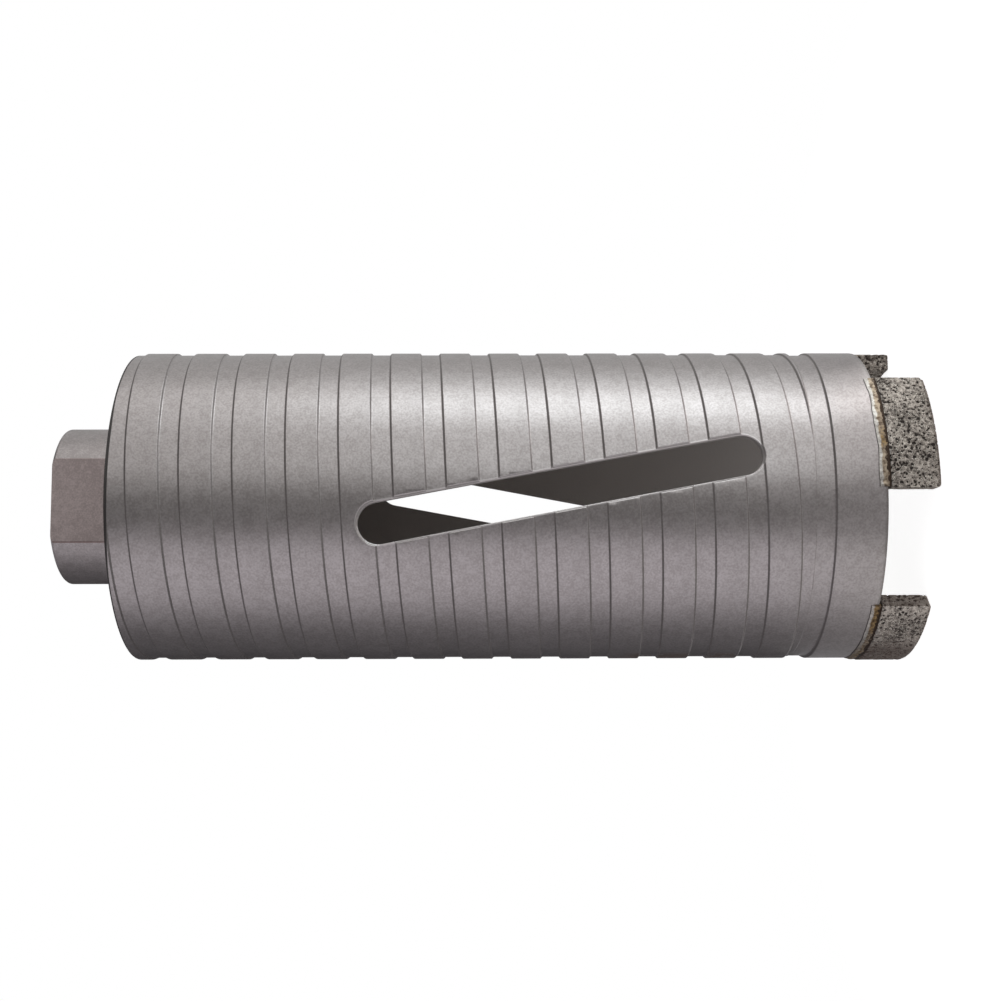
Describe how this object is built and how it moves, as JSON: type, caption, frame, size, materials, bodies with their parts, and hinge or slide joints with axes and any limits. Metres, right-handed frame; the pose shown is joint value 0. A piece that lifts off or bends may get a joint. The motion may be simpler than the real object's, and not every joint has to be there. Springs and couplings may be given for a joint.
{
  "type": "core drill bit",
  "caption": "Dry core drill bit: a slotted steel barrel with a helical dust groove, diamond segments on its mouth and a threaded hub with wrench flats.",
  "frame": {"origin": "on the barrel's axis, in the plane of the segment tips that the bit stands on", "axes": "+Z along the barrel's axis, from the segments to the hub; -Y is the side that the picture shows"},
  "size_m": [0.0675, 0.0676, 0.1815],
  "materials": {
    "paint": "satin metallic silver-grey paint with a fine sparkle",
    "hub_paint": "satin metallic silver-grey paint",
    "weld": "weld fillet under the same paint",
    "segment": "sintered metal with diamond grit, pitted",
    "braze": "heat-stained braze"
  },
  "bodies": {
    "root": {"barrel": "paint", "back_plate": "paint", "hub": "hub_paint", "hub_weld": "weld", "segment_1": "segment", "segment_2": "segment", "segment_3": "segment", "segment_4": "segment", "braze_1": "braze", "braze_2": "braze", "braze_3": "braze", "braze_4": "braze"}
  },
  "joints": []
}
